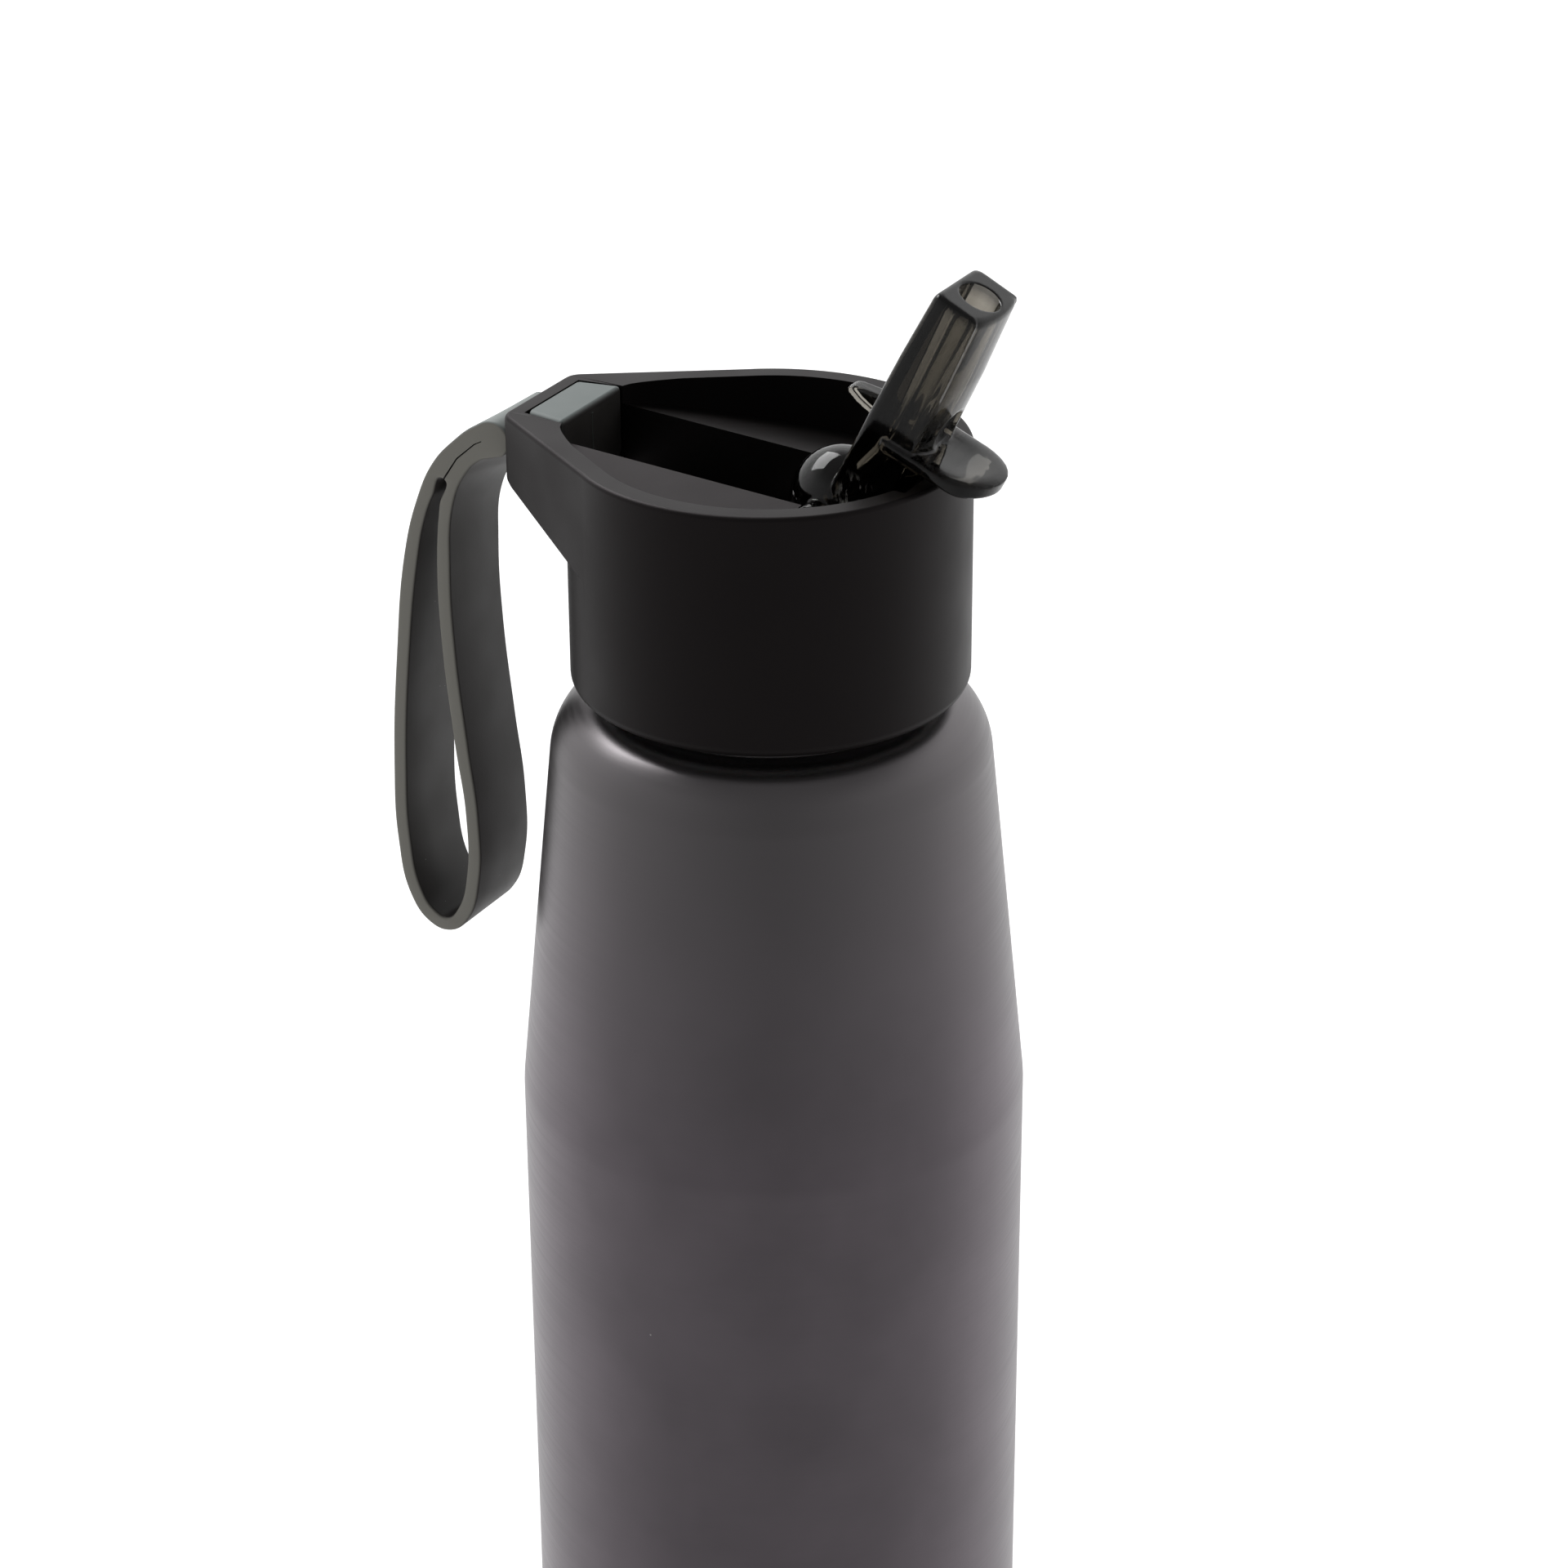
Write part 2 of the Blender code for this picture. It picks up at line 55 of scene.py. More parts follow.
# bottle
BODY_R = 36.5
WALL = 1.2
KINK_Z = 147.0
TAPER_TOP_R, TAPER_TOP_Z = 31.25, 198.4
SHOULDER_R, SHOULDER_Z = 23.4, 208.0
SHOULDER_START = 8.0             # the shoulder's curve sets in at this angle, along the taper
NECK_R, NECK_WALL, LIP_Z, LIP_ROUND = 22.6, 1.0, 225.3, 0.5
FOOT_ROUND = 5.0
PITCH, TURNS, THREAD_Z, THREAD_CREST_R = 4.0, 1.5, 215.0, 23.8
THREAD_ROOT_HALF, THREAD_FLANK_HALF, THREAD_CREST_HALF, THREAD_EASE = 1.35, 0.75, 0.35, 0.25
THREAD_RUN_IN = 0.06             # share of a turn over which the ridge grows to its full height

# lid
LID_R, LID_BOTTOM, RIM_Z = 28.05, 210.3, 245.5
RIM_INNER_R = 24.8
RIM_ROUND, RIM_INNER_ROUND, EDGE_ROUND = 0.65, 0.85, 0.32
LID_FOOT_ROUND = 1.7
LID_CAVITY_R = 26.05
FLOOR_UNDERSIDE, FLOOR_Z = 229.6, 231.6
DECK_Z, DECK_FALL_X, DECK_FALL_Y = 241.25, 0.057, 0.22
CHANNEL_HALF, CHANNEL_END_X = 8.15, 25.2
LUG_X, LUG_HALF, LUG_ROUND = -37.5, 9.0, 3.0
LUG_UNDER_Z, LUG_UNDER_FALL = 235.9, 0.30
POCKET_BACK_X, POCKET_BACK_HALF = -35.0, 7.2
POCKET_FRONT_X, POCKET_FRONT_HALF = -28.3, 8.4
POCKET_SKIN = 1.6
SLOT_HALF, SLOT_LOW, SLOT_HIGH = 6.2, 237.0, 242.4
SEAT_DEPTH, SEAT_CLEARANCE, SNAP_HALF = 2.1, 0.25, 1.75
SEAL_HOLE_R, VENT_HOLE_R = 5.4, 2.9
BELOW_FLOOR, IN_FLOOR, ABOVE_RIM = 226.0, 234.0, 250.0      # ends of the cutters

# liner, gasket and straw
LINER_R, LINER_INNER_R, LINER_TOP, LINER_PLATE, LINER_BOTTOM = 25.75, 24.15, 229.3, 227.3, 211.4
LINER_CREST_R = 22.95
LINER_BORE_R, LINER_VENT_R = 1.7, 1.8
STRAW_R, STRAW_INNER_R, STRAW_TOP, STRAW_BOTTOM = 3.5, 2.7, 227.0, 8.0
NIPPLE_R, NIPPLE_END = 2.5, 218.3

# spout
HINGE_X, HINGE_Z = 11.35, 239.4
TILT = math.radians(26.5)
BALL_R, AXLE_R = 7.2, 2.0
SPOUT_LENGTH, SPOUT_HALF = 37.9, 6.25
BORE_R, BORE_MOUTH_R, BORE_MIDDLE, BORE_DEPTH = 1.9, 2.95, 4.0, 25.0
LEVER_HALF, LEVER_START, LEVER_END = 6.8, 3.0, 18.8
LEVER_TOP, LEVER_UNDER, LEVER_BEND = 15.45, 12.85, 12.5
PRONG_HALF, GUSSET_HALF = 1.25, 5.4
SMOKE_DENSITY = 650.0
VENT_X = HINGE_X - 15.7

# carry loop
LOOP_PIVOT_X, LOOP_PIVOT_Z, LOOP_ROOT_R = -40.9, 240.1, 2.8
LOOP_HALF = 6.7
LOOP_EDGE = 0.42
DROOP = 2.6
SLIT_DEPTH = 0.8

SPOUT_FRAME = Matrix.Translation(Vector((HINGE_X, 0, HINGE_Z)) * MM) @ Matrix.Rotation(TILT, 4, "Y")


# ---------------------------------------------------------------- mesh helpers

def new_object(name, mesh):
    obj = bpy.data.objects.new(name, mesh)
    bpy.context.scene.collection.objects.link(obj)
    return obj


def cleaned(mesh):
    """Merges doubled points and turns every face outwards."""
    bm = bmesh.new()
    bm.from_mesh(mesh)
    bmesh.ops.remove_doubles(bm, verts=bm.verts, dist=1e-7)
    bmesh.ops.recalc_face_normals(bm, faces=bm.faces)
    bm.to_mesh(mesh)
    bm.free()
    return mesh


def from_faces(name, verts, faces):
    mesh = bpy.data.meshes.new(name)
    mesh.from_pydata([tuple(v) for v in verts], [], faces)
    return new_object(name, cleaned(mesh))


def skin(steps, size, base=0):
    """Quads between consecutive rings of points; the rings are numbered on from base."""
    faces = []
    for i in range(steps):
        a, b = base + i * size, base + (i + 1) * size
        for k in range(size):
            nxt = (k + 1) % size
            faces.append((a + k, a + nxt, b + nxt, b + k))
    return faces


def loft(name, sections):
    """A closed skin through sections of equal point count, capped at both ends."""
    size = len(sections[0])
    verts = [Vector(p) * MM for section in sections for p in section]
    faces = skin(len(sections) - 1, size)
    faces.append(list(range(size))[::-1])
    faces.append(list(range(len(verts) - size, len(verts))))
    return from_faces(name, verts, faces)


def arc(cx, cz, r, start, end, count):
    """Points on a circle, angles in degrees."""
    points = []
    for i in range(count):
        angle = math.radians(start + (end - start) * i / (count - 1))
        points.append((cx + r * math.cos(angle), cz + r * math.sin(angle)))
    return points


def rounded(points, radius, closed=False, steps=5):
    """The outline with its corners turned into arcs; radius is one number or one per point."""
    radii = radius if isinstance(radius, list) else [radius] * len(points)
    out = []
    count = len(points)
    for i, (point, r) in enumerate(zip(points, radii)):
        here = Vector(point)
        if r <= 0 or (not closed and i in (0, count - 1)):
            out.append(tuple(here))
            continue
        before = Vector(points[i - 1]) - here
        after = Vector(points[(i + 1) % count]) - here
        half = before.angle(after) / 2
        reach = min(r / math.tan(half), 0.49 * before.length, 0.49 * after.length)
        start = here + before.normalized() * reach
        end = here + after.normalized() * reach
        for k in range(steps + 1):
            t = k / steps
            out.append(tuple(start * (1 - t) ** 2 + here * 2 * t * (1 - t) + end * t * t))
    return out


def turned(name, profile, segments=128, closed=False, centre_x=0.0):
    """A body of revolution about a vertical axis; the profile holds (radius, height)."""
    verts, faces, rings = [], [], []
    for r, z in profile:
        if r < 1e-6:
            rings.append([len(verts)] * segments)
            verts.append((centre_x * MM, 0.0, z * MM))
            continue
        rings.append(list(range(len(verts), len(verts) + segments)))
        for k in range(segments):
            turn = 2 * math.pi * k / segments
            verts.append(((centre_x + r * math.cos(turn)) * MM, r * math.sin(turn) * MM, z * MM))
    pairs = list(zip(rings, rings[1:]))
    if closed:
        pairs.append((rings[-1], rings[0]))
    for low, high in pairs:
        for k in range(segments):
            nxt = (k + 1) % segments
            face = []
            for index in (low[k], low[nxt], high[nxt], high[k]):
                if index not in face:
                    face.append(index)
            if len(face) > 2:
                faces.append(face)
    return from_faces(name, verts, faces)


def evaluated(obj):
    """Applies the modifiers of obj, or turns a curve into a mesh, and keeps its name and place."""
    bpy.context.view_layer.update()
    depsgraph = bpy.context.evaluated_depsgraph_get()
    mesh = bpy.data.meshes.new_from_object(obj.evaluated_get(depsgraph), depsgraph=depsgraph)
    mesh.transform(obj.matrix_world)
    name = obj.name
    bpy.data.objects.remove(obj, do_unlink=True)
    return new_object(name, cleaned(mesh))


def joined(name, *parts):
    """Several meshes as one object."""
    bm = bmesh.new()
    for obj in parts:
        obj.data.transform(obj.matrix_world)
        bm.from_mesh(obj.data)
    mesh = bpy.data.meshes.new(name)
    bm.to_mesh(mesh)
    bm.free()
    for obj in parts:
        bpy.data.objects.remove(obj, do_unlink=True)
    return new_object(name, mesh)


def prism(name, loops, low, high, upright=False, edge=0.0, resolution=12, curved=False):
    """Flat outlines extruded along Z, or along Y when upright; edge rounds the two rims."""
    curve = bpy.data.curves.new(name, "CURVE")
    curve.dimensions = "2D"
    curve.fill_mode = "BOTH"
    curve.extrude = ((high - low) / 2 - edge) * MM
    curve.resolution_u = resolution
    if edge:
        curve.bevel_depth = edge * MM
        curve.bevel_resolution = 3
        curve.offset = -edge * MM
    for points in loops:
        spline = curve.splines.new("BEZIER" if curved else "POLY")
        if curved:
            spline.bezier_points.add(len(points) - 1)
            for knot, (x, y) in zip(spline.bezier_points, points):
                knot.co = (x * MM, y * MM, 0.0)
                knot.handle_left_type = knot.handle_right_type = "AUTO"
        else:
            spline.points.add(len(points) - 1)
            for knot, (x, y) in zip(spline.points, points):
                knot.co = (x * MM, y * MM, 0.0, 1.0)
        spline.use_cyclic_u = True
    obj = new_object(name, curve)
    middle = (high + low) / 2 * MM
    if upright:
        obj.rotation_euler = (math.pi / 2, 0.0, 0.0)
        obj.location = (0.0, middle, 0.0)
    else:
        obj.location = (0.0, 0.0, middle)
    return evaluated(obj)


def block(name, low, high):
    corners = [(x, y, z) for x in (low[0], high[0]) for y in (low[1], high[1]) for z in (low[2], high[2])]
    faces = [(0, 1, 3, 2), (4, 6, 7, 5), (0, 4, 5, 1), (2, 3, 7, 6), (0, 2, 6, 4), (1, 5, 7, 3)]
    return from_faces(name, [Vector(c) * MM for c in corners], faces)


def cylinder(name, radius, start, end, sides=64, end_radius=None):
    """A rod or cone between two points."""
    a, b = Vector(start), Vector(end)
    along = (b - a).normalized()
    side = along.orthogonal().normalized()
    other = along.cross(side)
    verts, faces = [], []
    for point, r in ((a, radius), (b, radius if end_radius is None else end_radius)):
        for k in range(sides):
            turn = 2 * math.pi * k / sides
            verts.append((point + (side * math.cos(turn) + other * math.sin(turn)) * r) * MM)
    for k in range(sides):
        nxt = (k + 1) % sides
        faces.append((k, nxt, sides + nxt, sides + k))
    faces.append(list(range(sides))[::-1])
    faces.append(list(range(sides, 2 * sides)))
    return from_faces(name, verts, faces)


def combine(target, tool, operation="DIFFERENCE"):
    """Adds, cuts or keeps the overlap with tool, at once."""
    modifier = target.modifiers.new("combine", "BOOLEAN")
    modifier.operation = operation
    modifier.solver = "EXACT"
    modifier.object = tool
    result = evaluated(target)
    bpy.data.objects.remove(tool, do_unlink=True)
    return result


def bevelled(obj, width, strong=None, strong_above=None, segments=3, angle=32.0):
    """Rounds the sharp edges, more strongly above a height, and keeps flat faces flat in shading."""
    mesh = obj.data
    bm = bmesh.new()
    bm.from_mesh(mesh)
    bm.edges.ensure_lookup_table()
    largest = strong or width
    weights = [0.0] * len(bm.edges)
    for edge in bm.edges:
        if len(edge.link_faces) != 2 or edge.calc_face_angle(0.0) < math.radians(angle):
            continue
        high = strong_above is not None and min(v.co.z for v in edge.verts) > strong_above * MM
        weights[edge.index] = 1.0 if high else width / largest
    bm.free()
    layer = mesh.attributes.new("bevel_weight_edge", "FLOAT", "EDGE")
    layer.data.foreach_set("value", weights)
    modifier = obj.modifiers.new("round", "BEVEL")
    modifier.width = largest * MM
    modifier.segments = segments
    modifier.limit_method = "WEIGHT"
    modifier.use_clamp_overlap = True
    obj = evaluated(obj)
    obj.data.shade_smooth()
    obj.data.set_sharp_from_angle(angle=math.radians(50.0))
    normals = obj.modifiers.new("normals", "WEIGHTED_NORMAL")
    normals.keep_sharp = True
    normals.weight = 60
    return obj


def smooth(obj, angle=None):
    obj.data.shade_smooth()
    if angle:
        obj.data.set_sharp_from_angle(angle=math.radians(angle))
    return obj


def remeshed(obj, voxel, relax=4):
    """One continuous skin over everything in obj, with its edges slightly softened."""
    modifier = obj.modifiers.new("skin", "REMESH")
    modifier.mode = "VOXEL"
    modifier.voxel_size = voxel * MM
    modifier.adaptivity = 0.0
    soften = obj.modifiers.new("soften", "SMOOTH")
    soften.factor = 0.5
    soften.iterations = relax
    return smooth(evaluated(obj))


# ---------------------------------------------------------------- materials

class Nodes:
    """Short calls for adding nodes to a tree."""

    def __init__(self, tree):
        self.tree = tree

    def put(self, socket, value):
        if isinstance(value, bpy.types.NodeSocket):
            self.tree.links.new(value, socket)
        elif isinstance(value, tuple) and len(value) == 3 and socket.type == "RGBA":
            socket.default_value = (*value, 1.0)
        else:
            socket.default_value = value

    def add(self, kind, settings=None, **sockets):
        node = self.tree.nodes.new("ShaderNode" + kind)
        for key, value in (settings or {}).items():
            setattr(node, key, value)
        for key, value in sockets.items():
            self.put(node.inputs[key.replace("_", " ")], value)
        return node

    def math(self, operation, first, second=0.0, third=0.0):
        node = self.add("Math", {"operation": operation})
        self.put(node.inputs[0], first)
        self.put(node.inputs[1], second)
        self.put(node.inputs[2], third)
        return node.outputs[0]

    def vectors(self, operation, first, second=None):
        node = self.add("VectorMath", {"operation": operation})
        self.put(node.inputs[0], first)
        if second is not None:
            self.put(node.inputs[1], second)
        return node.outputs["Value" if operation == "DOT_PRODUCT" else "Vector"]

    def span(self, value, low, high, to_low=0.0, to_high=1.0):
        """Carries low..high over to to_low..to_high, and no further."""
        node = self.add("MapRange", Value=value)
        for key, number in (("From Min", low), ("From Max", high), ("To Min", to_low), ("To Max", to_high)):
            node.inputs[key].default_value = number
        return node.outputs[0]

    def mix(self, factor, first, second):
        node = self.add("Mix", {"data_type": "RGBA"})
        self.put(node.inputs["Factor"], factor)
        self.put(node.inputs[6], first)
        self.put(node.inputs[7], second)
        return node.outputs[2]


class Look(Nodes):
    """A Principled material whose patterns are placed by the object's own coordinates."""

    def __init__(self, name, **sockets):
        self.material = bpy.data.materials.new(name)
        self.material.use_nodes = True
        super().__init__(self.material.node_tree)
        self.shader = self.tree.nodes["Principled BSDF"]
        self.place = self.add("TexCoord").outputs["Object"]
        for key, value in sockets.items():
            self.put(self.shader.inputs[key.replace("_", " ")], value)

    def stretched(self, x, y, z):
        node = self.add("Mapping", Vector=self.place)
        node.inputs["Scale"].default_value = (x, y, z)
        return node.outputs[0]

    def along(self, row):
        """Millimetres along one axis of a frame; row holds that axis and its offset."""
        distance = self.vectors("DOT_PRODUCT", self.place, tuple(row)[:3])
        return self.math("MULTIPLY_ADD", distance, 1.0 / MM, row[3] / MM)

    def noise(self, vector, scale, detail=2.0, roughness=0.5):
        node = self.add("TexNoise", Vector=vector, Scale=scale, Detail=detail, Roughness=roughness)
        return node.outputs["Fac"]

    def specks(self, spacing, size, share):
        """A mask of rare small dots: dust and mould marks."""
        cells = self.add("TexVoronoi", Vector=self.place, Scale=1.0 / (spacing * MM))
        near = self.math("LESS_THAN", cells.outputs["Distance"], size / spacing)
        red = self.add("SeparateColor", Color=cells.outputs["Color"]).outputs[0]
        chosen = self.math("LESS_THAN", red, share)
        return self.math("MULTIPLY", near, chosen)

    def bump(self, height, distance, strength=1.0):
        node = self.add("Bump", Height=height, Distance=distance * MM, Strength=strength)
        self.put(self.shader.inputs["Normal"], node.outputs[0])

    def colour(self, value):
        self.put(self.shader.inputs["Base Color"], value)

    def roughness(self, value):
        self.put(self.shader.inputs["Roughness"], value)


def metal_look():
    look = Look("satin_anthracite_metal", Metallic=1.0)
    cloud = look.noise(look.place, 55.0, 3.0)
    dark, light = (0.183, 0.163, 0.179), (0.210, 0.186, 0.205)
    tone = look.mix(look.span(cloud, 0.35, 0.65), dark, light)
    turned_lines = look.noise(look.stretched(25.0, 25.0, 2600.0), 1.0, 2.0)
    height = look.add("SeparateXYZ", Vector=look.place).outputs[2]
    upper = look.span(height, KINK_Z * MM + 0.003, SHOULDER_Z * MM - 0.006)
    tone = look.mix(upper, tone, (0.181, 0.170, 0.176))
    dust = look.math("MULTIPLY", look.specks(9.0, 0.16, 0.05), 0.8)
    tone = look.mix(dust, tone, (0.6, 0.58, 0.57))
    look.colour(tone)
    look.roughness(look.span(turned_lines, 0.3, 0.7, 0.30, 0.36))
    look.bump(turned_lines, 0.004)
    return look.material


def lid_look():
    look = Look("matte_black_plastic", Specular_IOR_Level=0.215, Specular_Tint=(1.0, 0.87, 0.91))
    grain = look.noise(look.place, 5200.0, 2.0)
    cloud = look.noise(look.place, 90.0, 2.0)
    tone = look.mix(cloud, (0.0030, 0.0026, 0.0024), (0.0042, 0.0037, 0.0034))
    look.colour(look.mix(look.specks(3.2, 0.09, 0.06), tone, (0.11, 0.11, 0.11)))
    look.roughness(look.span(cloud, 0.3, 0.7, 0.40, 0.47))
    look.bump(grain, 0.006)
    return look.material


def liner_look():
    look = Look("natural_liner_plastic", Roughness=0.42)
    cloud = look.noise(look.place, 120.0, 2.0)
    look.colour(look.mix(cloud, (0.56, 0.56, 0.54), (0.63, 0.63, 0.61)))
    look.shader.inputs["Subsurface Weight"].default_value = 0.15
    look.shader.inputs["Subsurface Scale"].default_value = 0.002
    look.bump(look.noise(look.place, 3000.0), 0.005)
    return look.material


def seal_look():
    look = Look("soft_seal_rubber")
    cloud = look.noise(look.place, 300.0, 2.0)
    look.colour(look.mix(cloud, (0.33, 0.33, 0.32), (0.40, 0.40, 0.385)))
    look.roughness(0.58)
    look.bump(look.noise(look.place, 2500.0), 0.01)
    return look.material


def straw_look():
    look = Look("frosted_straw_plastic", Roughness=0.28)
    cloud = look.noise(look.stretched(1.0, 1.0, 0.2), 220.0, 2.0)
    look.colour(look.mix(cloud, (0.74, 0.75, 0.74), (0.82, 0.82, 0.80)))
    look.shader.inputs["Transmission Weight"].default_value = 0.55
    look.shader.inputs["IOR"].default_value = 1.49
    return look.material


def smoke_look():
    look = Look("smoke_plastic", IOR=1.49)
    inverse = SPOUT_FRAME.inverted()
    along = look.along(inverse.row[2])
    out = look.along(inverse.row[0])
    across = look.along(inverse.row[1])
    # Painted shade: a dark base colour on the end of the tip and the middle of the lever stands in for the
    # darkness that refraction and dim reflections give them.
    tip = look.span(along, SPOUT_LENGTH - 2.2, SPOUT_LENGTH - 0.7)
    lever = look.math("MULTIPLY", look.span(out, 8.6, 9.8), look.span(along, 16.9, 16.1))
    dark = look.math("MAXIMUM", tip, lever)
    tone = look.mix(dark, (0.86, 0.84, 0.80), (0.20, 0.205, 0.215))
    scratches = look.noise(look.stretched(900.0, 900.0, 350.0), 1.0, 3.0, 0.7)
    worn = look.span(scratches, 0.50, 0.62)
    off_middle = look.math("ABSOLUTE", look.math("SUBTRACT", out, 3.0))
    near_side = look.math("LESS_THAN", across, 0.6 - SPOUT_HALF)
    for limit in (look.span(along, 8.4, 6.0), look.span(along, 1.5, 4.0), near_side,
                  look.span(off_middle, 1.0, 2.6, 1.0, 0.0)):
        worn = look.math("MULTIPLY", worn, limit)
    look.colour(look.mix(worn, tone, (0.42, 0.41, 0.38)))
    look.roughness(look.span(worn, 0.0, 1.0, 0.07, 0.5))
    look.put(look.shader.inputs["Transmission Weight"], look.span(worn, 0.0, 1.0, 1.0, 0.25))
    volume = look.add("VolumeAbsorption", Color=(0.47, 0.45, 0.41), Density=SMOKE_DENSITY)
    look.put(look.tree.nodes["Material Output"].inputs["Volume"], volume.outputs[0])
    look.bump(look.noise(look.place, 160.0, 1.0), 0.03, 0.6)
    return look.material


def rubber_look(name, dark, light, edge, top, top_from=None):
    """Matte silicone with painted light: lighter on its narrow side faces, and a painted highlight on top
    where it leaves the lug.
    """
    look = Look(name, Specular_IOR_Level=0.45)
    cloud = look.noise(look.place, 140.0, 3.0)
    tone = look.mix(look.span(cloud, 0.3, 0.7), dark, light)
    facing = look.add("SeparateXYZ", Vector=look.add("TexCoord").outputs["Normal"])
    # Painted light: faces turned along Y, the narrow side faces, take the lighter edge colour.
    side = look.span(look.math("ABSOLUTE", facing.outputs[1]), 0.35, 0.95)
    tone = look.mix(side, tone, edge)
    # Painted highlight: faces turned upwards take the light top colour; with top_from, only near the lug.
    painted_top_highlight = look.span(facing.outputs[2], 0.25, 0.8)
    if top_from:
        place = look.add("SeparateXYZ", Vector=look.place).outputs[0]
        near_lug = look.span(place, top_from[0] * MM, top_from[1] * MM)
        painted_top_highlight = look.math("MULTIPLY", painted_top_highlight, near_lug)
    tone = look.mix(painted_top_highlight, tone, top)
    look.colour(look.mix(look.specks(1.6, 0.07, 0.08), tone, (0.25, 0.24, 0.23)))
    look.roughness(look.span(cloud, 0.3, 0.7, 0.44, 0.54))
    look.bump(look.noise(look.place, 3600.0, 2.0), 0.008)
    return look.material


def dressed(obj, material, slot, body, *nodes):
    """Gives a finished piece its material, its body and the CAD nodes that it stands for; the slot argument
    is not used.
    """
    obj.data.materials.clear()
    obj.data.materials.append(material)
    if body:
        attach(obj, body)
    if nodes:
        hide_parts(*nodes)
    return obj


# ---------------------------------------------------------------- pieces

def thread_ridge(name, root_r, crest_r, start_z, steps=120):
    """A helical ridge with tapered run-in and run-out; steps are per turn."""
    sections = []
    count = int(steps * TURNS)
    for i in range(count + 1):
        turn = 2 * math.pi * TURNS * i / count
        z = start_z + PITCH * TURNS * i / count
        fade = min(1.0, min(i, count - i) / (steps * THREAD_RUN_IN))
        crest = root_r + (crest_r - root_r) * fade
        flank = crest - THREAD_EASE * fade
        section = [(root_r, -THREAD_ROOT_HALF), (flank, -THREAD_FLANK_HALF), (crest, -THREAD_CREST_HALF),
                   (crest, THREAD_CREST_HALF), (flank, THREAD_FLANK_HALF), (root_r, THREAD_ROOT_HALF)]
        sections.append([(r * math.cos(turn), r * math.sin(turn), z + dz) for r, dz in section])
    return smooth(loft(name, sections), 60.0)


def make_bottle():
    """The turned metal skin, inside and out, with the thread on its neck."""
    base = [(0.0, 0.9), (24.0, 0.9), (26.5, 0.05), (BODY_R - FOOT_ROUND, 0.0)]
    base = rounded(base, [0.0, 1.6, 1.2, 0.0])
    outer = arc(BODY_R - FOOT_ROUND, FOOT_ROUND, FOOT_ROUND, -88.0, 0.0, 12)
    sides = [(BODY_R, FOOT_ROUND + 1.0), (BODY_R, KINK_Z), (TAPER_TOP_R, TAPER_TOP_Z)]
    outer += rounded(sides, [0.0, 22.0, 0.0], steps=12)[:-1]
    first = math.radians(SHOULDER_START)
    reach_r = (TAPER_TOP_R - SHOULDER_R) / math.cos(first)
    reach_z = SHOULDER_Z - TAPER_TOP_Z
    for k in range(33):
        turn = first + (math.pi / 2 - first) * k / 32
        outer.append((SHOULDER_R + reach_r * math.cos(turn), TAPER_TOP_Z + reach_z * math.sin(turn)))
    neck = [(SHOULDER_R, SHOULDER_Z), (NECK_R, SHOULDER_Z + 0.1), (NECK_R, LIP_Z - 1.2)]
    outer += rounded(neck, [0.0, 0.7, 0.0], steps=6)[1:]
    lip = arc(NECK_R - LIP_ROUND, LIP_Z - LIP_ROUND, LIP_ROUND, 0.0, 180.0, 12)
    inner = [(NECK_R - NECK_WALL, LIP_Z - 1.4), (NECK_R - NECK_WALL, SHOULDER_Z - 0.5),
             (SHOULDER_R + 2.0, SHOULDER_Z - WALL - 0.6), (TAPER_TOP_R - WALL - 1.4, TAPER_TOP_Z + 2.0),
             (TAPER_TOP_R - WALL, TAPER_TOP_Z - 3.0), (BODY_R - WALL, KINK_Z), (BODY_R - WALL, WALL + 3.5),
             (BODY_R - WALL - 3.0, WALL + 0.6), (0.0, WALL + 0.6)]
    inner = rounded(inner, [0.0, 1.5, 2.0, 2.0, 4.0, 10.0, 2.0, 2.0, 0.0])
    shell = smooth(turned("bottle_body", base + outer + lip + inner, segments=256), 60.0)
    return joined("bottle_body", shell, thread_ridge("thread", NECK_R - 0.2, THREAD_CREST_R, THREAD_Z))


def flank_angle():
    """The angle off -X at which the straight flanks of the lug leave the round lid."""
    return math.acos(LID_R / math.hypot(LUG_X, LUG_HALF)) + math.atan2(LUG_HALF, -LUG_X)


def lug_outline(radius, count=97):
    """Plan outline: a circle with two straight flanks that run out to a round-cornered flat end."""
    start = 180.0 - math.degrees(flank_angle())
    points = arc(0.0, 0.0, radius, start, -start, count)
    ends = [points[-1], (LUG_X, -LUG_HALF), (LUG_X, LUG_HALF), points[0]]
    return points + rounded(ends, LUG_ROUND, steps=7)[1:-1]


def underside_z(x):
    """Height of the lug's sloping underside."""
    return LUG_UNDER_Z - LUG_UNDER_FALL * (x - LUG_X)


def deck_space(name, side):
    """The space over one deck half; its floor slopes down to the hinge and out to the wall."""
    start = 180.0 - math.degrees(flank_angle())
    end = math.degrees(math.asin(6.0 / RIM_INNER_R))
    wall = arc(0.0, 0.0, RIM_INNER_R, start, end, 72)
    turn = [(POCKET_FRONT_X, 6.0), (POCKET_FRONT_X, CHANNEL_HALF), (-27.75, 9.5), (-26.6, 10.9),
            (-24.9, 12.6), (-22.6, 14.65), (-19.0, 17.1)]
    turn = rounded(turn + [wall[0]], [0.0, 0.0, 2.0, 3.0, 4.0, 8.0, 8.0, 0.0], steps=4)
    outline = [(x, y * side) for x, y in turn + wall[1:]]
    cutter = prism(name, [outline], BELOW_FLOOR, ABOVE_RIM)
    for vert in cutter.data.vertices:
        if vert.co.z < FLOOR_Z * MM:
            outward = abs(vert.co.y) - CHANNEL_HALF * MM
            vert.co.z = DECK_Z * MM - DECK_FALL_X * vert.co.x - DECK_FALL_Y * outward
    return cutter


